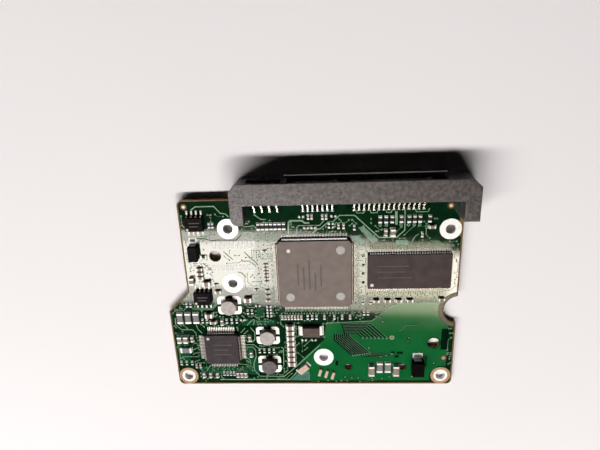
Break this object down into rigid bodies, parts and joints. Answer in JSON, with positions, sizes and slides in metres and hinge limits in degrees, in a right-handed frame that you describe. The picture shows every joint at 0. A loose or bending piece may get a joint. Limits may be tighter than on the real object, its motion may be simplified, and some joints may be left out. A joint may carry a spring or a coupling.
{
  "type": "hard drive circuit board",
  "caption": "Stepped circuit board for a hard drive, with an edge connector, a square controller chip, a long memory chip, drum inductors and rows of small chip parts.",
  "frame": {"origin": "centre of the lower left screw hole, on the board's underside", "axes": "+X along the board's long side, +Y towards the edge connector, +Z out of the side with the chips"},
  "size_m": [0.083, 0.0638, 0.007],
  "materials": {
    "solder_mask": "satin lacquer over laminate",
    "tinned_metal": "dull tinned",
    "bare_copper": "dull copper",
    "connector_plastic": "fine grained",
    "pale_package": "matt moulded resin",
    "dark_package": "matt moulded resin",
    "ferrite": "ground ferrite",
    "winding_wire": "lacquered wire",
    "tan_ceramic": "fired ceramic",
    "brown_ceramic": "fired ceramic",
    "resistor_glaze": "glazed"
  },
  "bodies": {
    "root": {"circuit_board": "solder_mask", "screw_pads": "tinned_metal", "corner_screw_pads": "tinned_metal", "corner_pad_borders": "bare_copper", "fiducial_dots": "bare_copper", "head_contact_pads": "tinned_metal", "inductor_lands": "tinned_metal", "connector_housing": "connector_plastic", "signal_contacts": "tinned_metal", "power_contacts": "tinned_metal", "jumper_pins": "tinned_metal", "controller_body": "pale_package", "controller_leads": "tinned_metal", "memory_body": "dark_package", "memory_leads": "tinned_metal", "motor_driver_body": "dark_package", "motor_driver_leads": "tinned_metal", "flash_body": "dark_package", "flash_leads": "tinned_metal", "power_switch_body": "dark_package", "power_switch_leads": "tinned_metal", "rectifier_body": "dark_package", "rectifier_terminals": "tinned_metal", "clamp_diode_body": "dark_package", "clamp_diode_terminals": "tinned_metal", "upper_inductor_core": "ferrite", "upper_inductor_winding": "winding_wire", "middle_inductor_core": "ferrite", "middle_inductor_winding": "winding_wire", "lower_inductor_core": "ferrite", "lower_inductor_winding": "winding_wire", "filter_capacitor_body": "brown_ceramic", "filter_capacitor_ends": "tinned_metal", "column_capacitor_bodies": "tan_ceramic", "column_capacitor_ends": "tinned_metal", "sense_resistor_bodies": "resistor_glaze", "sense_resistor_ends": "tinned_metal", "chip_capacitor_bodies": "tan_ceramic", "chip_capacitor_ends": "tinned_metal", "shock_sensor_body": "tan_ceramic", "shock_sensor_ends": "tinned_metal", "motor_contacts": "tan_ceramic", "small_resistor_bodies": "resistor_glaze", "small_resistor_ends": "tinned_metal", "small_capacitor_bodies": "tan_ceramic", "small_capacitor_ends": "tinned_metal"}
  },
  "joints": []
}
